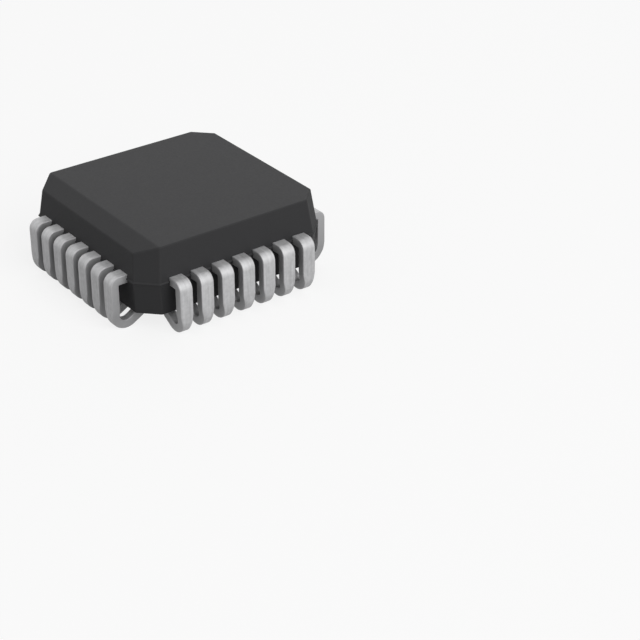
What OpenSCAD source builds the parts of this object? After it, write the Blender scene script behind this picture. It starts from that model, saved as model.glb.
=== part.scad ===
// Plastic leaded chip carrier: a square moulded package on J-shaped leads, seven to a side.
// It stands on its leads. The origin is the centre of the seating plane, with +Z up.
// The bevelled side, where the count of the leads begins, faces -X.

/* [Body] */
// Width of the moulding across the parting line
body_w = 11.48; // [11:0.01:12.4]
// Height of the upper half, from the parting line to the top face
upper_h = 1.94; // [1.4:0.01:2.4]
// Depth of the lower half, from the parting line to the underside
lower_h = 1.84; // [1.5:0.01:2.2]
// Clear height between the seating plane and the underside
standoff = 1.02; // [1:0.01:1.5]
// Draft of the upper half's walls, in degrees
upper_draft = 7; // [2:0.5:10]
// Draft of the lower half's walls, in degrees
lower_draft = 4.5; // [1:0.5:8]
// Leg of the cut across each upright corner
corner_cut = 0.98; // [0.6:0.02:1.3]
// Width of the bevel, seen from above
bevel_w = 1; // [0.4:0.05:1.6]
// Height of the bevel
bevel_h = 0.41; // [0.2:0.01:0.8]
// How far the flash along the parting line stands out
flash_out = 0.06; // [0.02:0.01:0.12]
// Height of the flash at its root
flash_h = 0.14; // [0.06:0.01:0.24]

/* [Leads] */
// Leads along each side
leads_per_side = 7; // [5:2:7]
// Distance from one lead to the next
pitch = 1.27; // [1.1:0.01:1.35]
// Thickness of the metal strip
lead_t = 0.47; // [0.3:0.01:0.5]
// Width of a lead where it leaves the moulding
lead_w = 0.76; // [0.55:0.01:0.85]
// Width of a lead under the package
foot_w = 0.47; // [0.35:0.01:0.6]
// How far the leads stand out from the parting line
lead_reach = 0.95; // [0.8:0.01:1.2]
// Inside radius of the bend at the shoulder
shoulder_r = 0.04; // [0.02:0.01:0.2]
// Height at which a lead begins to narrow
neck_z = 1.17; // [0.9:0.01:1.8]
// Height, in the J-bend, at which it has narrowed
neck_low_z = 0.43; // [0.2:0.01:0.8]
// Inside radius of the J-bend
hook_r = 0.42; // [0.35:0.01:0.6]
// Turn of the J-bend, in degrees
hook_turn = 120; // [100:1:126]
// Straight length at the tip of the J, on its outer face
tip_l = 1.04; // [0.5:0.01:1.1]
// Slant of the cut at the tip, in degrees
tip_slant = 36; // [20:1:45]

/* [Frame inside] */
// Straight part of each finger, inside the wall
finger_straight = 1; // [0.6:0.05:1.3]
// Width of a finger at its inner end
finger_w = 0.4; // [0.25:0.01:0.45]
// Distance between the fingers' inner ends
finger_pitch = 0.72; // [0.6:0.01:0.74]
// Width of the square die pad
pad_w = 5; // [4.6:0.05:5.4]
// Gap between the pad and the fingers
pad_gap = 0.35; // [0.25:0.01:0.6]
// Width of the tie bars at the pad's corners
tie_w = 0.3; // [0.2:0.01:0.34]
// Flat length of a tie bar beyond the pad's corner
tie_root = 0.3; // [0.2:0.05:0.6]
// Length of the slope in a tie bar between the pad and the level of the leads
tie_slope = 0.5; // [0.3:0.05:0.8]
// Distance from a tie bar's end to the face of the corner
tie_setback = 0.35; // [0.2:0.05:0.8]
// Least gap between a tie bar and the straight part of the finger beside it
tie_gap = 0.23; // [0.1:0.01:0.3]

/* [Chip inside] */
// Width of the square die
die_w = 3.6; // [3.2:0.05:4.2]
// Thickness of the die
die_t = 0.38; // [0.2:0.01:0.5]
// Thickness of the layer that holds the die on the pad
attach_t = 0.03; // [0.02:0.01:0.06]
// How far that layer shows around the die
attach_rim = 0.1; // [0.05:0.01:0.2]
// Diameter of the bond wires
wire_d = 0.05; // [0.04:0.005:0.08]
// Rise of a wire's loop above its ends
wire_rise = 0.2; // [0.15:0.01:0.4]
// Distance between the wires' ends on the die
bond_pitch = 0.45; // [0.3:0.01:0.5]
// Distance from the die's edge to the wires
bond_inset = 0.15; // [0.1:0.01:0.25]
// Distance from a finger's inner end to its wire
stitch_inset = 0.2; // [0.1:0.01:0.4]

/* [Hidden] */
$fn = 48;
pins = 4 * leads_per_side;

// Levels
part_z = standoff + lower_h;
top_z = part_z + upper_h;
lead_low_z = part_z - lead_t / 2;
bond_z = part_z + lead_t / 2;
pad_top_z = bond_z - die_t - attach_t;
pad_low_z = pad_top_z - lead_t;

// Half widths of the moulding
wall = body_w / 2;
top_wall = wall - upper_h * tan(upper_draft);
low_wall = wall - lower_h * tan(lower_draft);
bevel_wall = wall - (upper_h - bevel_h) * tan(upper_draft);

// Lead
lead_out = wall + lead_reach;
shoulder_out = shoulder_r + lead_t;
hook_out = hook_r + lead_t;
run_out = lead_out - shoulder_out;
finger_in = pad_w / 2 + pad_gap;

// Longer than the moulding and any lead, for a shape that others cut to length
through = 2 * body_w;

// Lead 1 is the middle one of the bevelled side, and the count runs anticlockwise seen from above.
function seat(pin) = (pin - 1 + (leads_per_side - 1) / 2) % pins;
function side(pin) = floor(seat(pin) / leads_per_side);
function place(pin) = seat(pin) % leads_per_side - (leads_per_side - 1) / 2;
// A finger turns in at its knee, and does so sooner where a tie bar is near.
function knee(pin) = max(wall - finger_straight, beside_tie(pin));
function beside_tie(pin) = abs(place(pin)) * pitch + lead_w / 2 + (tie_w / 2 + tie_gap) * sqrt(2);
function numbered(name, pin) = str(name, pin < 10 ? "_0" : "_", pin);

// Turns what is drawn for the -Y side to the side that the lead stands on.
module on_side(pin) {
  rotate([0, 0, 90 * (side(pin) - 1)]) children();
}

// A section of the moulding, from the half widths at its parting line, top face and underside.
// The flash stands on both walls as a low ridge.
module section(half, top, low) {
  over = half + (top - half) * flash_h / 2 / upper_h;
  under = half + (low - half) * flash_h / 2 / lower_h;
  polygon([
    [-low, standoff], [low, standoff],
    [under, part_z - flash_h / 2], [half + flash_out, part_z], [over, part_z + flash_h / 2],
    [top, top_z], [-top, top_z],
    [-over, part_z + flash_h / 2], [-half - flash_out, part_z], [-under, part_z - flash_h / 2]
  ]);
}

module bevelled_section() {
  difference() {
    section(wall, top_wall, low_wall);
    polygon([[-bevel_wall, top_z - bevel_h], [bevel_w - top_wall, top_z], [-wall, top_z]]);
  }
}

// Stands a section upright and runs it through the moulding.
module run(angle) {
  rotate([90, 0, angle]) linear_extrude(through, center = true) children();
}

// The outer form: two sections crossed, and two more at 45 degrees that cut the corners.
module moulding() {
  intersection() {
    run(0) bevelled_section();
    run(90) section(wall, top_wall, low_wall);
    run(45) section(across(wall), across(top_wall), across(low_wall));
    run(135) section(across(wall), across(top_wall), across(low_wall));
  }
}

// Distance from the centre to a cut corner where the walls stand this far out
function across(half) = (2 * half - corner_cut) / sqrt(2);

// The flat part of a lead: a finger inside the moulding and a run out to the shoulder
module finger(pin) {
  inner = place(pin) * finger_pitch;
  outer = place(pin) * pitch;
  on_side(pin) intersection() {
    translate([0, 0, lead_low_z]) linear_extrude(lead_t) polygon([
      [inner - finger_w / 2, -finger_in], [outer - lead_w / 2, -knee(pin)], [outer - lead_w / 2, -lead_out],
      [outer + lead_w / 2, -lead_out], [outer + lead_w / 2, -knee(pin)], [inner + finger_w / 2, -finger_in]
    ]);
    translate([-run_out, -run_out, 0]) cube([2 * run_out, run_out, top_z]);
  }
}

// A bend in the strip, about its own axis
module bend(inside, turn, width) {
  rotate_extrude(angle = turn) translate([inside, -width / 2]) square([lead_t, width]);
}

// The strip as it comes down from the shoulder and into the J-bend, about the axis of that bend.
// X points out of the package and Y down. Its front view narrows from the neck into the bend.
module shank() {
  straight = bond_z - shoulder_out - hook_out;
  neck = hook_out - neck_z;
  neck_low = hook_out - neck_low_z;
  intersection() {
    union() {
      translate([hook_r, -straight, -through / 2]) cube([lead_t, straight, through]);
      bend(hook_r, 90, through);
    }
    rotate([90, 0, 90]) linear_extrude(through, center = true) polygon([
      [-through, -lead_w / 2], [neck, -lead_w / 2], [neck_low, -foot_w / 2], [through, -foot_w / 2],
      [through, foot_w / 2], [neck_low, foot_w / 2], [neck, lead_w / 2], [-through, lead_w / 2]
    ]);
  }
}

// The rest of the J: it turns on in under the package, to a straight tip that is cut off aslant.
module hook() {
  rotate([0, 0, 90]) bend(hook_r, hook_turn - 90, foot_w);
  rotate([0, 0, hook_turn]) linear_extrude(foot_w, center = true) polygon([
    [hook_r, 0], [hook_out, 0], [hook_out, tip_l], [hook_r, tip_l - lead_t * tan(tip_slant)]
  ]);
}

module lead(pin) {
  color("silver") {
    finger(pin);
    on_side(pin) translate([place(pin) * pitch, 0, 0]) {
      translate([0, shoulder_out - lead_out, bond_z - shoulder_out])
        rotate([90, 0, -90]) bend(shoulder_r, 90, lead_w);
      translate([0, hook_out - lead_out, hook_out]) rotate([-90, 0, -90]) {
        shank();
        hook();
      }
    }
  }
}

// A tie bar, seen from the side: flat out of the pad, up to the level of the leads, and on to the corner
module tie_bar() {
  slope_start = pad_w / sqrt(2) + tie_root;
  slope_end = slope_start + tie_slope;
  end = across(wall) - tie_setback;
  rotate([90, 0, 0]) linear_extrude(tie_w, center = true) polygon([
    [pad_w / 2, pad_low_z], [slope_start, pad_low_z], [slope_end, lead_low_z], [end, lead_low_z],
    [end, bond_z], [slope_end, bond_z], [slope_start, pad_top_z], [pad_w / 2, pad_top_z]
  ]);
}

// The pad with a tie bar at each corner, drawn with the bars along X and Y and then turned
module die_pad() {
  color("peru") rotate([0, 0, 45]) {
    translate([0, 0, pad_low_z]) linear_extrude(lead_t) rotate(45) square(pad_w, center = true);
    for (angle = [0:90:270]) rotate([0, 0, angle]) tie_bar();
  }
}

module die_attach() {
  width = die_w + 2 * attach_rim;
  color("gainsboro") translate([-width / 2, -width / 2, pad_top_z]) cube([width, width, attach_t]);
}

module die() {
  color("slategray") translate([-die_w / 2, -die_w / 2, bond_z - die_t]) cube([die_w, die_w, die_t]);
}

// A bond wire as an arc that dips into the die and the finger at its ends
module wire_arc(pin) {
  from = [place(pin) * bond_pitch, bond_inset - die_w / 2];
  to = [place(pin) * finger_pitch, -finger_in - stitch_inset];
  span = norm(to - from);
  radius = (span * span / 4 + wire_rise * wire_rise) / (2 * wire_rise);
  half_turn = asin(span / 2 / radius) + 2 * wire_d / radius * 180 / PI;
  middle = (from + to) / 2;
  on_side(pin) translate([middle.x, middle.y, bond_z + wire_rise - radius])
    rotate([90, 0, atan2(to.y - from.y, to.x - from.x)]) rotate([0, 0, 90 - half_turn])
      rotate_extrude(angle = 2 * half_turn) translate([radius, 0]) circle(d = wire_d);
}

// The wire ends flat on the level that the die's face and the fingers share.
module wire(pin) {
  color("gold") intersection() {
    wire_arc(pin);
    translate([-wall, -wall, bond_z]) cube([body_w, body_w, upper_h]);
  }
}

// The compound fills everything around what it holds.
module body() {
  color("dimgray") difference() {
    moulding();
    for (pin = [1:pins]) {
      finger(pin);
      wire_arc(pin);
    }
    die_pad();
    die_attach();
    die();
  }
}

body();
die_pad();
die_attach();
die();
for (pin = [1:pins]) {
  lead(pin);
  wire(pin);
}
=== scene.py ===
import math

import bmesh
import bpy
import numpy as np
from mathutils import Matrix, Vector


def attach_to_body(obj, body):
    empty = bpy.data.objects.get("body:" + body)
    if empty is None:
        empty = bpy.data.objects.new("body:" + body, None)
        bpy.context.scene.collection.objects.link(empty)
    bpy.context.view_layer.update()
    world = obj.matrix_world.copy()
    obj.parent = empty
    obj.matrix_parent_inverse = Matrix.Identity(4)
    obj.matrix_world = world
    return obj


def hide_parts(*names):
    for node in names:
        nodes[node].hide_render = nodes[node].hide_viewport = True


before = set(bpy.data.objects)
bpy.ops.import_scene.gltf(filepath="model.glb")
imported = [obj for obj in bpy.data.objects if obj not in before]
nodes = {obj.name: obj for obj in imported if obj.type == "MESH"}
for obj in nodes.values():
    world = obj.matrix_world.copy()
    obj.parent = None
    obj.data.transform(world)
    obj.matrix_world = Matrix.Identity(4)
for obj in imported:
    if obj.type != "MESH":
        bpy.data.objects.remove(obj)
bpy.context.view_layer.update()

# Die pad with its four tie bars: copper alloy strip, stamped from the same sheet as the leads and pushed
# down below their level. The moulding holds it from all sides, so it keeps the bare rolled finish.
mm = 0.001
roll_gap = 0.04 * mm
roll_length = 2 * mm


def linear(hexcode):
    """An sRGB hex colour as linear RGBA."""
    parts = [int(hexcode[i : i + 2], 16) / 255 for i in (1, 3, 5)]
    return [c / 12.92 if c <= 0.04045 else ((c + 0.055) / 1.055) ** 2.4 for c in parts] + [1.0]


def add(tree, kind, settings={}, inputs={}):
    """Adds a node with its settings. An input, by name or number, takes a value or a socket to link from."""
    made = tree.nodes.new(kind)
    for name, value in settings.items():
        setattr(made, name, value)
    for name, value in inputs.items():
        if isinstance(value, bpy.types.NodeSocket):
            tree.links.new(value, made.inputs[name])
        else:
            made.inputs[name].default_value = value
    return made


def coat(name, finish):
    """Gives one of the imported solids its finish."""
    slots = nodes[name].data.materials
    slots.clear()
    slots.append(finish)


# Rolled copper alloy: a warm satin, with fine lines that the rolls left.
copper = bpy.data.materials.new("rolled_copper_strip")
copper.use_nodes = True
tree = copper.node_tree
place = add(tree, "ShaderNodeTexCoord").outputs["Object"]
rolled = add(tree, "ShaderNodeMapping",
             inputs={"Vector": place, "Scale": (1 / roll_gap, 1 / roll_length, 1 / roll_length)})
lines = add(tree, "ShaderNodeTexNoise",
            inputs={"Vector": rolled.outputs["Vector"], "Scale": 1.0, "Detail": 2.0})
tone = add(tree, "ShaderNodeMix", {"data_type": "RGBA"},
           {0: lines.outputs["Fac"], 6: linear("#b0764f"), 7: linear("#c98d63")})
satin = add(tree, "ShaderNodeMapRange",
            inputs={"Value": lines.outputs["Fac"], "To Min": 0.3, "To Max": 0.42})
surface = tree.nodes["Principled BSDF"]
surface.inputs["Metallic"].default_value = 1.0
tree.links.new(tone.outputs[2], surface.inputs["Base Color"])
tree.links.new(satin.outputs["Result"], surface.inputs["Roughness"])
coat("die_pad", copper)

# Die attach: a layer of silver-filled epoxy, 0.03 mm thick, printed on the pad and cured under the die.
# It is pale grey and matt, with the sparkle of the silver flakes.
flake = 0.02 * mm
attach = bpy.data.materials.new("silver_filled_epoxy")
attach.use_nodes = True
tree = attach.node_tree
place = add(tree, "ShaderNodeTexCoord").outputs["Object"]
flakes = add(tree, "ShaderNodeTexVoronoi", inputs={"Vector": place, "Scale": 1 / flake})
tone = add(tree, "ShaderNodeMix", {"data_type": "RGBA"},
           {0: flakes.outputs["Distance"], 6: linear("#d4d4d0"), 7: linear("#b4b4b0")})
surface = tree.nodes["Principled BSDF"]
surface.inputs["Metallic"].default_value = 0.4
surface.inputs["Roughness"].default_value = 0.55
tree.links.new(tone.outputs[2], surface.inputs["Base Color"])
coat("die_attach", attach)

# Die: a square of silicon, 3.6 mm wide and 0.38 mm thick, sawn from a polished wafer.
# Its face is a dark blue-grey mirror under a thin clear passivation, with blocks of circuitry
# of differing tone.
circuit_block = 0.5 * mm
die_silicon = bpy.data.materials.new("polished_silicon")
die_silicon.use_nodes = True
tree = die_silicon.node_tree
place = add(tree, "ShaderNodeTexCoord").outputs["Object"]
blocks = add(tree, "ShaderNodeTexVoronoi", {"distance": "CHEBYCHEV"},
             {"Vector": place, "Scale": 1 / circuit_block})
tone = add(tree, "ShaderNodeMix", {"data_type": "RGBA"},
           {0: blocks.outputs["Color"], 6: linear("#4a4f5c"), 7: linear("#6a6c74")})
surface = tree.nodes["Principled BSDF"]
surface.inputs["Metallic"].default_value = 0.6
surface.inputs["Roughness"].default_value = 0.18
tree.links.new(tone.outputs[2], surface.inputs["Base Color"])
coat("die", die_silicon)

# Bond wires: drawn gold, 0.05 mm thick, looped from the die's face to the finger of each lead
# and welded at both ends. Gold gives a warm yellow gloss, a little uneven where the wire was drawn.
draw_mark = 0.03 * mm
gold = bpy.data.materials.new("drawn_gold_wire")
gold.use_nodes = True
tree = gold.node_tree
place = add(tree, "ShaderNodeTexCoord").outputs["Object"]
drawn = add(tree, "ShaderNodeTexNoise", inputs={"Vector": place, "Scale": 1 / draw_mark})
tone = add(tree, "ShaderNodeMix", {"data_type": "RGBA"},
           {0: drawn.outputs["Fac"], 6: linear("#e6b955"), 7: linear("#f2cf7a")})
surface = tree.nodes["Principled BSDF"]
surface.inputs["Metallic"].default_value = 1.0
surface.inputs["Roughness"].default_value = 0.25
tree.links.new(tone.outputs[2], surface.inputs["Base Color"])
for name in nodes:
    if name.startswith("wire_"):
        coat(name, gold)

# Moulded body: black epoxy compound with silica filler, pressed hot into a two-part mould around the strip.
# The mould's eroded walls leave a fine matt grit, and its edges come out slightly rounded.
edge_round = 0.07 * mm
edge_steps = 3
sharp_from = math.radians(15)
parting_z = 2.86 * mm
flash_out = 0.06 * mm
flash_h = 0.14 * mm

# Filled epoxy: nearly black and matt, with a soft gloss at low angles and faint clouds where it flowed.
# The grit is about 0.03 mm in the real one. It is drawn coarser, because finer grit can't show at this size.
grit_size = 0.14 * mm
grit_depth = 0.012 * mm
flow_size = 2.5 * mm
compound = bpy.data.materials.new("epoxy_moulding_compound")
compound.use_nodes = True
tree = compound.node_tree
place = add(tree, "ShaderNodeTexCoord").outputs["Object"]
grit = add(tree, "ShaderNodeTexNoise",
           inputs={"Vector": place, "Scale": 1 / grit_size, "Detail": 3.0, "Roughness": 0.6})
flow = add(tree, "ShaderNodeTexNoise", inputs={"Vector": place, "Scale": 1 / flow_size, "Detail": 2.0})
mottle = add(tree, "ShaderNodeMath", {"operation": "MULTIPLY"}, {0: grit.outputs["Fac"], 1: 0.6})
mottle = add(tree, "ShaderNodeMath", {"operation": "MULTIPLY_ADD"},
             {0: flow.outputs["Fac"], 1: 0.4, 2: mottle.outputs[0]})
tone = add(tree, "ShaderNodeMix", {"data_type": "RGBA"},
           {0: mottle.outputs[0], 6: linear("#252527"), 7: linear("#2d2d2e")})
matt = add(tree, "ShaderNodeMapRange", inputs={"Value": grit.outputs["Fac"], "To Min": 0.56, "To Max": 0.72})
relief = add(tree, "ShaderNodeBump",
             inputs={"Strength": 0.25, "Distance": grit_depth, "Height": grit.outputs["Fac"]})
surface = tree.nodes["Principled BSDF"]
surface.inputs["Specular IOR Level"].default_value = 0.33
tree.links.new(tone.outputs[2], surface.inputs["Base Color"])
tree.links.new(matt.outputs["Result"], surface.inputs["Roughness"])
tree.links.new(relief.outputs["Normal"], surface.inputs["Normal"])

# The outside is the solid's own, with its upright, top and bottom edges rounded. The thin flash that
# squeezed out along the parting line between the mould's two halves stays sharp.
same_point = 1e-5 * mm
close_corners = 0.04 * mm
flat_within = math.radians(0.2)
form = bmesh.new()
form.from_mesh(nodes["body"].data)
bmesh.ops.remove_doubles(form, verts=form.verts, dist=same_point)
bmesh.ops.dissolve_limit(form, angle_limit=flat_within, verts=form.verts, edges=form.edges)
corners = np.array([v.co for v in form.verts])


def outside(face):
    """True if nothing but the flash stands in front of this face, as on the outside of a plain form."""
    normal = np.array(face.normal)
    return (corners @ normal).max() - normal @ np.array(face.verts[0].co) < 1.2 * flash_out


outer = {face for face in form.faces if outside(face)}
# Where the bevel meets the corner cuts, two corners lie closer than the rounding, so they become one.
close = [v for v in form.verts if set(v.link_faces) <= outer]
bmesh.ops.remove_doubles(form, verts=close, dist=close_corners)
outer = {face for face in outer if face.is_valid}
weight = form.edges.layers.float.new("bevel_weight_edge")
for edge in form.edges:
    edge.smooth = False
    turned = set(edge.link_faces) <= outer and edge.calc_face_angle(0) > sharp_from
    on_flash = all(abs(v.co.z - parting_z) < 0.6 * flash_h for v in edge.verts)
    edge[weight] = 1.0 if turned and not on_flash else 0.0
for face in form.faces:
    face.smooth = True
skin = bpy.data.meshes.new("moulded_body")
form.to_mesh(skin)
form.free()
rough_body = bpy.data.objects.new("rough_body", skin)
bpy.context.scene.collection.objects.link(rough_body)
rounding = rough_body.modifiers.new("edges", "BEVEL")
rounding.limit_method = "WEIGHT"
rounding.width = edge_round
rounding.segments = edge_steps
rounding.harden_normals = True
rounding.use_clamp_overlap = False
bpy.context.view_layer.update()
shaped = bpy.context.evaluated_depsgraph_get()
finished = bpy.data.meshes.new_from_object(rough_body.evaluated_get(shaped))
bpy.data.objects.remove(rough_body)
finished.materials.clear()
finished.materials.append(compound)
moulded_body = bpy.data.objects.new("moulded_body", finished)
bpy.context.scene.collection.objects.link(moulded_body)
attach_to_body(moulded_body, "root")
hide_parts("body")

# J-leads: copper strip, punched to width, plated with matt tin, then bent down at the shoulder and round
# under the body after moulding. Each is one strip, from its finger inside the moulding to the slanted cut
# at its tip.
leads_a_side = 7
pitch = 1.27 * mm
strip_t = 0.47 * mm
strip_w = 0.76 * mm
foot_w = 0.47 * mm
finger_w = 0.4 * mm
finger_pitch = 0.72 * mm
strip_edge = 0.05 * mm
lead_out = 6.69 * mm
shoulder_in = 0.04 * mm
hook_in = 0.42 * mm
hook_z = 0.89 * mm
hook_turn = math.radians(120)
tip_l = 1.04 * mm
tip_slant = math.tan(math.radians(36))
neck_z = 1.17 * mm
neck_low_z = 0.43 * mm
knee = 4.74 * mm
finger_end = 2.85 * mm
bend_steps = 14
rounding_steps = 4
cut_edge = math.radians(50)

# The bends run on the middle of the strip. The hook's two straight runs would meet at its corner.
line = lead_out - strip_t / 2
shoulder_r = shoulder_in + strip_t / 2
hook_r = hook_in + strip_t / 2
hook_leg = hook_r * math.tan(hook_turn / 2)
hook_corner = Vector((0, -line, hook_z - hook_leg))
tip_way = Vector((0, math.sin(hook_turn), -math.cos(hook_turn)))
tip = hook_corner + tip_way * (hook_leg + tip_l - strip_t / 2 * tip_slant)

# Matt tin: a soft grey satin with faint lines along the strip, and a plain, slightly darker grey on the
# punched sides.
# The rolling lines are some 0.01 mm apart in the real one, and the grains of the tin some 0.005 mm wide.
# Both are drawn coarser, so that they can show at this size.
line_gap = 0.1 * mm
line_length = 1.5 * mm
grain = 0.17 * mm
tin_depth = 0.008 * mm
tin = bpy.data.materials.new("matt_tin_plate")
tin.use_nodes = True
tree = tin.node_tree
strip = add(tree, "ShaderNodeAttribute", {"attribute_name": "strip"}).outputs["Vector"]
along = add(tree, "ShaderNodeMapping",
            inputs={"Vector": strip, "Scale": (1 / line_gap, 1 / line_gap, 1 / line_length)})
lines = add(tree, "ShaderNodeTexNoise",
            inputs={"Vector": along.outputs["Vector"], "Scale": 1.0, "Detail": 2.0})
place = add(tree, "ShaderNodeTexCoord").outputs["Object"]
grains = add(tree, "ShaderNodeTexNoise", inputs={"Vector": place, "Scale": 1 / grain, "Detail": 3.0})
blend = add(tree, "ShaderNodeMath", {"operation": "MULTIPLY"}, {0: lines.outputs["Fac"], 1: 0.55})
blend = add(tree, "ShaderNodeMath", {"operation": "MULTIPLY_ADD"},
            {0: grains.outputs["Fac"], 1: 0.45, 2: blend.outputs[0]})
face_tone = add(tree, "ShaderNodeMix", {"data_type": "RGBA"},
                {0: blend.outputs[0], 6: linear("#969697"), 7: linear("#dfdfe0")})
across = add(tree, "ShaderNodeSeparateXYZ", inputs={"Vector": strip})
off = add(tree, "ShaderNodeMath", {"operation": "ABSOLUTE"}, {0: across.outputs["X"]})
side = add(tree, "ShaderNodeMapRange",
           inputs={"Value": off.outputs[0], "From Min": strip_w / 2 - strip_edge, "From Max": strip_w / 2})
punched = add(tree, "ShaderNodeMix", {"data_type": "RGBA"},
              {0: side.outputs["Result"], 6: face_tone.outputs[2], 7: linear("#b0b0b1")})
satin = add(tree, "ShaderNodeMapRange", inputs={"Value": blend.outputs[0], "To Min": 0.54, "To Max": 0.78})
relief = add(tree, "ShaderNodeBump",
             inputs={"Strength": 0.3, "Distance": tin_depth, "Height": blend.outputs[0]})
surface = tree.nodes["Principled BSDF"]
surface.inputs["Metallic"].default_value = 1.0
tree.links.new(punched.outputs[2], surface.inputs["Base Color"])
tree.links.new(satin.outputs["Result"], surface.inputs["Roughness"])
tree.links.new(relief.outputs["Normal"], surface.inputs["Normal"])

# The tree bends one strip along its path, sets it out along the four sides, and fans the fingers in.
bender = bpy.data.node_groups.new("bent_leads", "GeometryNodeTree")
bender.interface.new_socket("Geometry", in_out="OUTPUT", socket_type="NodeSocketGeometry")
given = {}
sizes = {
    "Leads a side": leads_a_side, "Pitch": pitch,
    "Strip width": strip_w, "Strip thickness": strip_t, "Edge radius": strip_edge,
    "Foot width": foot_w, "Finger width": finger_w, "Finger pitch": finger_pitch,
    "Shoulder radius": shoulder_r, "Hook radius": hook_r, "Hook axis": hook_r - line,
    "Neck height": neck_z, "Neck low": neck_low_z, "Knee": knee, "Finger end": finger_end,
    "Tip slant": tuple(tip_way * tip_slant),
    "Path 1, finger end": (0, -finger_end, parting_z), "Path 2, knee": (0, -knee, parting_z),
    "Path 3, shoulder": (0, -line, parting_z), "Path 4, neck": (0, -line, neck_z),
    "Path 5, hook": tuple(hook_corner), "Path 6, tip": tuple(tip), "Plating": tin,
}
for name, value in sizes.items():
    kind = {int: "Int", float: "Float", tuple: "Vector"}.get(type(value), "Material")
    socket = bender.interface.new_socket(name, in_out="INPUT", socket_type="NodeSocket" + kind)
    given[name] = socket.identifier
size = add(bender, "NodeGroupInput").outputs
index = add(bender, "GeometryNodeInputIndex").outputs["Index"]
position = add(bender, "GeometryNodeInputPosition").outputs["Position"]

# Path of the middle of the strip. A new switch has two items, and gets one more for each further point.
path_points = [name for name in sizes if name.startswith("Path")]
points = add(bender, "GeometryNodeMeshLine", inputs={"Count": len(path_points)})
corner = add(bender, "GeometryNodeIndexSwitch", {"data_type": "VECTOR"}, {"Index": index})
radius = add(bender, "GeometryNodeIndexSwitch", {"data_type": "FLOAT"}, {"Index": index})
for name in path_points[2:]:
    corner.index_switch_items.new()
    radius.index_switch_items.new()
for item, name in enumerate(path_points):
    bender.links.new(size[name], corner.inputs[item + 1])
bender.links.new(size["Shoulder radius"], radius.inputs[3])
bender.links.new(size["Hook radius"], radius.inputs[5])
route = add(bender, "GeometryNodeSetPosition",
            inputs={"Geometry": points.outputs["Mesh"], "Position": corner.outputs["Output"]})
path = add(bender, "GeometryNodeMeshToCurve", inputs={"Mesh": route.outputs["Geometry"]})
path = add(bender, "GeometryNodeFilletCurve", {"mode": "POLY"},
           {"Curve": path.outputs["Curve"], "Count": bend_steps, "Radius": radius.outputs["Output"]})
length = add(bender, "GeometryNodeSplineParameter").outputs["Length"]
end = add(bender, "GeometryNodeCurveEndpointSelection", inputs={"Start Size": 0, "End Size": 1})
marked_path = add(bender, "GeometryNodeCaptureAttribute", inputs={"Geometry": path.outputs["Curve"]})
marked_path.capture_items.new("FLOAT", "Length")
marked_path.capture_items.new("BOOLEAN", "Tip")
bender.links.new(length, marked_path.inputs[1])
bender.links.new(end.outputs["Selection"], marked_path.inputs[2])

# Section of the strip, with its edges rounded
section = add(bender, "GeometryNodeCurvePrimitiveQuadrilateral",
              inputs={"Width": size["Strip width"], "Height": size["Strip thickness"]})
section = add(bender, "GeometryNodeFilletCurve", {"mode": "POLY"},
              {"Curve": section.outputs["Curve"], "Count": rounding_steps, "Radius": size["Edge radius"]})
marked_section = add(bender, "GeometryNodeCaptureAttribute", inputs={"Geometry": section.outputs["Curve"]})
marked_section.capture_items.new("VECTOR", "Section")
bender.links.new(position, marked_section.inputs[1])
bar = add(bender, "GeometryNodeCurveToMesh", inputs={
    "Curve": marked_path.outputs["Geometry"], "Profile Curve": marked_section.outputs["Geometry"],
    "Fill Caps": True})

# The tip is cut off aslant, with its outer face the longer one.
on_section = add(bender, "ShaderNodeSeparateXYZ", inputs={"Vector": marked_section.outputs[1]}).outputs
longer = add(bender, "ShaderNodeVectorMath", {"operation": "SCALE"},
             {0: size["Tip slant"], "Scale": on_section["Y"]})
cut = add(bender, "GeometryNodeSetPosition", inputs={
    "Geometry": bar.outputs["Mesh"], "Selection": marked_path.outputs[2],
    "Offset": longer.outputs["Vector"]})

# The strip narrows from the neck into the hook, and stays narrow from the hook's lowest point to the tip.
xyz = add(bender, "ShaderNodeSeparateXYZ", inputs={"Vector": position})
foot_share = add(bender, "ShaderNodeMath", {"operation": "DIVIDE"},
                 {0: size["Foot width"], 1: size["Strip width"]})
narrow = add(bender, "ShaderNodeMapRange", inputs={
    "Value": xyz.outputs["Z"], "From Min": size["Neck low"], "From Max": size["Neck height"],
    "To Min": foot_share.outputs[0]})
low = add(bender, "ShaderNodeMath", {"operation": "LESS_THAN"},
          {0: xyz.outputs["Z"], 1: size["Neck height"]})
past = add(bender, "ShaderNodeMath", {"operation": "GREATER_THAN"},
           {0: xyz.outputs["Y"], 1: size["Hook axis"]})
under = add(bender, "ShaderNodeMath", {"operation": "MULTIPLY"}, {0: low.outputs[0], 1: past.outputs[0]})
share = add(bender, "ShaderNodeMix",
            inputs={0: under.outputs[0], 2: narrow.outputs["Result"], 3: foot_share.outputs[0]})
narrow_x = add(bender, "ShaderNodeMath", {"operation": "MULTIPLY"},
               {0: xyz.outputs["X"], 1: share.outputs[0]})
narrowed = add(bender, "ShaderNodeCombineXYZ",
               inputs={"X": narrow_x.outputs[0], "Y": xyz.outputs["Y"], "Z": xyz.outputs["Z"]})
necked = add(bender, "GeometryNodeSetPosition",
             inputs={"Geometry": cut.outputs["Geometry"], "Position": narrowed.outputs["Vector"]})

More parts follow.
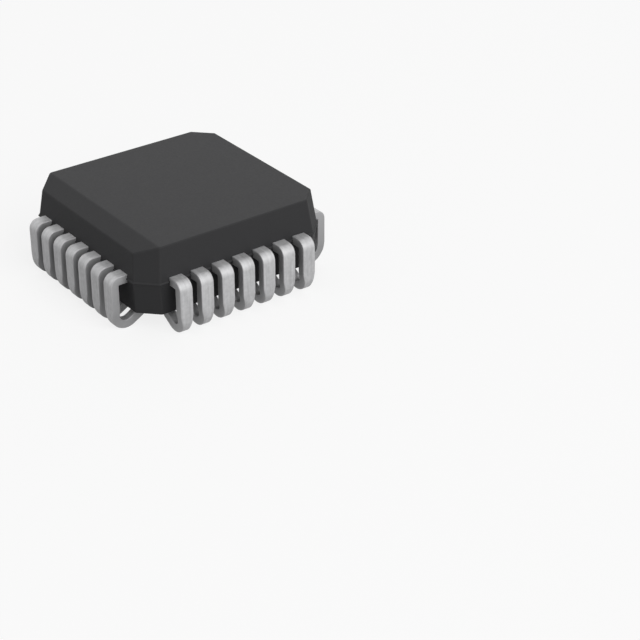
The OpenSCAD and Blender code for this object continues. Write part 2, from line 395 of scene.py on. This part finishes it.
# A row of leads, counted from the middle one
last = add(bender, "ShaderNodeMath", {"operation": "SUBTRACT"}, {0: size["Leads a side"], 1: 1.0})
middle = add(bender, "ShaderNodeMath", {"operation": "MULTIPLY"}, {0: last.outputs[0], 1: 0.5})
seat = add(bender, "ShaderNodeMath", {"operation": "SUBTRACT"}, {0: index, 1: middle.outputs[0]})
seat_x = add(bender, "ShaderNodeMath", {"operation": "MULTIPLY"}, {0: seat.outputs[0], 1: size["Pitch"]})
seat_place = add(bender, "ShaderNodeCombineXYZ", inputs={"X": seat_x.outputs[0]})
seats = add(bender, "GeometryNodePoints",
            inputs={"Count": size["Leads a side"], "Position": seat_place.outputs["Vector"]})
marked_seats = add(bender, "GeometryNodeCaptureAttribute", inputs={"Geometry": seats.outputs["Points"]})
marked_seats.capture_items.new("FLOAT", "Seat")
bender.links.new(seat.outputs[0], marked_seats.inputs[1])
row = add(bender, "GeometryNodeInstanceOnPoints",
          inputs={"Points": marked_seats.outputs["Geometry"], "Instance": necked.outputs["Geometry"]})
row = add(bender, "GeometryNodeRealizeInstances", inputs={"Geometry": row.outputs["Instances"]})

# The fingers narrow and fan in from the knee to their inner ends.
xyz = add(bender, "ShaderNodeSeparateXYZ", inputs={"Vector": position})
depth = add(bender, "ShaderNodeMath", {"operation": "MULTIPLY"}, {0: xyz.outputs["Y"], 1: -1.0})
inward = add(bender, "ShaderNodeMapRange",
             inputs={"Value": depth.outputs[0], "From Min": size["Knee"], "From Max": size["Finger end"]})
closer = add(bender, "ShaderNodeMath", {"operation": "SUBTRACT"},
             {0: size["Finger pitch"], 1: size["Pitch"]})
shift = add(bender, "ShaderNodeMath", {"operation": "MULTIPLY"},
            {0: closer.outputs[0], 1: marked_seats.outputs[1]})
finger_share = add(bender, "ShaderNodeMath", {"operation": "DIVIDE"},
                   {0: size["Finger width"], 1: size["Strip width"]})
thinner = add(bender, "ShaderNodeMath", {"operation": "SUBTRACT"}, {0: 1.0, 1: finger_share.outputs[0]})
move = add(bender, "ShaderNodeMath", {"operation": "MULTIPLY_ADD"},
           {0: on_section["X"], 1: thinner.outputs[0], 2: shift.outputs[0]})
move = add(bender, "ShaderNodeMath", {"operation": "MULTIPLY"},
           {0: move.outputs[0], 1: inward.outputs["Result"]})
fan = add(bender, "ShaderNodeCombineXYZ", inputs={"X": move.outputs[0]})
fanned = add(bender, "GeometryNodeSetPosition",
             inputs={"Geometry": row.outputs["Geometry"], "Offset": fan.outputs["Vector"]})

# Four rows, and for the plating's lines the place on each strip: across, through and along it. Each strip
# starts further along than any is long, so that no two have the same lines.
strips_apart = 20 * mm
sides = add(bender, "GeometryNodePoints", inputs={"Count": 4})
marked_sides = add(bender, "GeometryNodeCaptureAttribute", inputs={"Geometry": sides.outputs["Points"]})
marked_sides.capture_items.new("FLOAT", "Side")
bender.links.new(index, marked_sides.inputs[1])
quarter = add(bender, "ShaderNodeMath", {"operation": "MULTIPLY"}, {0: index, 1: math.pi / 2})
turn = add(bender, "ShaderNodeCombineXYZ", inputs={"Z": quarter.outputs[0]})
rows = add(bender, "GeometryNodeInstanceOnPoints", inputs={
    "Points": marked_sides.outputs["Geometry"], "Instance": fanned.outputs["Geometry"],
    "Rotation": turn.outputs["Vector"]})
rows = add(bender, "GeometryNodeRealizeInstances", inputs={"Geometry": rows.outputs["Instances"]})
number = add(bender, "ShaderNodeMath", {"operation": "MULTIPLY_ADD"},
             {0: marked_sides.outputs[1], 1: float(leads_a_side), 2: marked_seats.outputs[1]})
apart = add(bender, "ShaderNodeMath", {"operation": "MULTIPLY_ADD"},
            {0: number.outputs[0], 1: strips_apart, 2: marked_path.outputs[1]})
on_strip = add(bender, "ShaderNodeCombineXYZ",
               inputs={"X": on_section["X"], "Y": on_section["Y"], "Z": apart.outputs[0]})
named = add(bender, "GeometryNodeStoreNamedAttribute", {"data_type": "FLOAT_VECTOR", "domain": "POINT"},
            {"Geometry": rows.outputs["Geometry"], "Name": "strip", "Value": on_strip.outputs["Vector"]})
smooth = add(bender, "GeometryNodeSetShadeSmooth", inputs={"Geometry": named.outputs["Geometry"]})
plated = add(bender, "GeometryNodeSetMaterial",
             inputs={"Geometry": smooth.outputs["Geometry"], "Material": size["Plating"]})
add(bender, "NodeGroupOutput", inputs={"Geometry": plated.outputs["Geometry"]})

blank = bpy.data.objects.new("lead_blank", bpy.data.meshes.new("lead_blank"))
bpy.context.scene.collection.objects.link(blank)
bending = blank.modifiers.new("bending", "NODES")
bending.node_group = bender
for name, value in sizes.items():
    bending[given[name]] = value
bpy.context.view_layer.update()
shaped = bpy.context.evaluated_depsgraph_get()
bent = bpy.data.meshes.new_from_object(blank.evaluated_get(shaped))
bpy.data.objects.remove(blank)
bent.set_sharp_from_angle(angle=cut_edge)
leads = bpy.data.objects.new("leads", bent)
bpy.context.scene.collection.objects.link(leads)
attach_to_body(leads, "root")
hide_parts(*[n for n in nodes if n.startswith("lead_")])

# Floor: a wide sheet of matt pale paper. It shows nearly white to the camera and keeps the shadow. What the
# surfaces mirror of it has a painted pool of light: it glows white at the front, where the light falls, and
# turns to the plain lit paper under the part.
reach = 0.6
glow_white_until = -14 * mm
glow_faint_from = -2 * mm
white_to_camera = 0.82


def looked_at(tree, ray):
    """One where the camera sees the surface, also in a mirror or through glass, and zero for shed light."""
    seen = add(tree, "ShaderNodeMath", {"operation": "MAXIMUM"},
               {0: ray["Is Camera Ray"], 1: ray["Is Glossy Ray"]})
    seen = add(tree, "ShaderNodeMath", {"operation": "MAXIMUM"},
               {0: seen.outputs[0], 1: ray["Is Transmission Ray"]})
    return seen.outputs[0]


paper = bpy.data.materials.new("matt_pale_paper")
paper.use_nodes = True
tree = paper.node_tree
tree.nodes.remove(tree.nodes["Principled BSDF"])
ray = add(tree, "ShaderNodeLightPath").outputs

# What it throws back as light, what the surfaces mirror of it, with the painted glow, and what the camera
# sees
lit = add(tree, "ShaderNodeBsdfDiffuse", inputs={"Color": linear("#c8c8c8")})
white = add(tree, "ShaderNodeEmission", inputs={"Color": linear("#ffffff"), "Strength": 1.0})
place = add(tree, "ShaderNodeTexCoord").outputs["Object"]
depth = add(tree, "ShaderNodeSeparateXYZ", inputs={"Vector": place}).outputs["Y"]
# Painted light: the share of white glow that reflections see, 0.95 at the front and 0.15 under the part.
painted_glow_share = add(tree, "ShaderNodeMapRange", inputs={
    "Value": depth, "From Min": glow_white_until, "From Max": glow_faint_from, "To Min": 0.95, "To Max": 0.15})
share = add(tree, "ShaderNodeMix",
            inputs={0: ray["Is Camera Ray"], 2: painted_glow_share.outputs["Result"], 3: white_to_camera})
pale = add(tree, "ShaderNodeBsdfDiffuse", inputs={"Color": linear("#ffffff")})
shaded = add(tree, "ShaderNodeMixShader",
             inputs={0: ray["Is Camera Ray"], 1: lit.outputs[0], 2: pale.outputs[0]})
shown = add(tree, "ShaderNodeMixShader",
            inputs={0: share.outputs[0], 1: shaded.outputs[0], 2: white.outputs[0]})
floor_look = add(tree, "ShaderNodeMixShader",
                 inputs={0: looked_at(tree, ray), 1: lit.outputs[0], 2: shown.outputs[0]})

# From below the sheet is clear, so that the underside can be seen.
below = add(tree, "ShaderNodeNewGeometry").outputs["Backfacing"]
clear = add(tree, "ShaderNodeBsdfTransparent")
one_sided = add(tree, "ShaderNodeMixShader",
                inputs={0: below, 1: floor_look.outputs[0], 2: clear.outputs[0]})
tree.links.new(one_sided.outputs[0], tree.nodes["Material Output"].inputs["Surface"])
sheet = bpy.data.meshes.new("floor")
sheet_corners = [(-reach, -reach, 0), (reach, -reach, 0), (reach, reach, 0), (-reach, reach, 0)]
sheet.from_pydata(sheet_corners, [], [(0, 1, 2, 3)])
sheet.materials.append(paper)
floor = bpy.data.objects.new("floor", sheet)
bpy.context.scene.collection.objects.link(floor)

# Light: a white room, dimmer for what it sheds than for how it looks, with a softbox above the front
# and a weaker one behind, which the top face mirrors.
room_sheds = 0.42
room_looks = 1.0
room = bpy.data.worlds.new("white_room")
room.use_nodes = True
tree = room.node_tree
ray = add(tree, "ShaderNodeLightPath").outputs
shed = add(tree, "ShaderNodeMapRange",
           inputs={"Value": looked_at(tree, ray), "To Min": room_sheds, "To Max": room_looks})
tree.links.new(shed.outputs["Result"], tree.nodes["Background"].inputs["Strength"])
tree.nodes["Background"].inputs["Color"].default_value = linear("#ffffff")
bpy.context.scene.world = room


def softbox(name, place, width, power):
    """A square lamp that faces the middle of the part. Place and width are in metres, power in watts."""
    lamp = bpy.data.lights.new(name, "AREA")
    lamp.size = width
    lamp.energy = power
    box = bpy.data.objects.new(name, lamp)
    box.location = place
    middle_of_part = Vector((0, 0, 2 * mm))
    box.rotation_euler = (middle_of_part - Vector(place)).to_track_quat("-Z", "Y").to_euler()
    bpy.context.scene.collection.objects.link(box)


softbox("front_softbox", place=(0.02, -0.29, 0.22), width=0.26, power=0.62)
softbox("back_softbox", place=(0.16, 0.21, 0.15), width=0.2, power=0.07)

# Camera: above the front corner, with the lens and the place that the photograph's lines give.
# It aims beside the part, because the part stands in the upper left of the picture.
azimuth = math.radians(-36.73)
elevation = math.radians(29.61)
aim = Vector((2.549, -9.305, 0)) * mm
away = 94.74 * mm
level_share = math.cos(elevation)
back = Vector((math.sin(azimuth) * level_share, -math.cos(azimuth) * level_share, math.sin(elevation)))
eye = bpy.data.cameras.new("camera")
eye.sensor_width = 36.0
eye.lens = 103.63
eye.clip_start = 5 * mm
camera = bpy.data.objects.new("camera", eye)
camera.location = aim + back * away
camera.rotation_euler = (-back).to_track_quat("-Z", "Y").to_euler()
bpy.context.scene.collection.objects.link(camera)
bpy.context.scene.camera = camera
bpy.context.scene.view_settings.view_transform = "Standard"
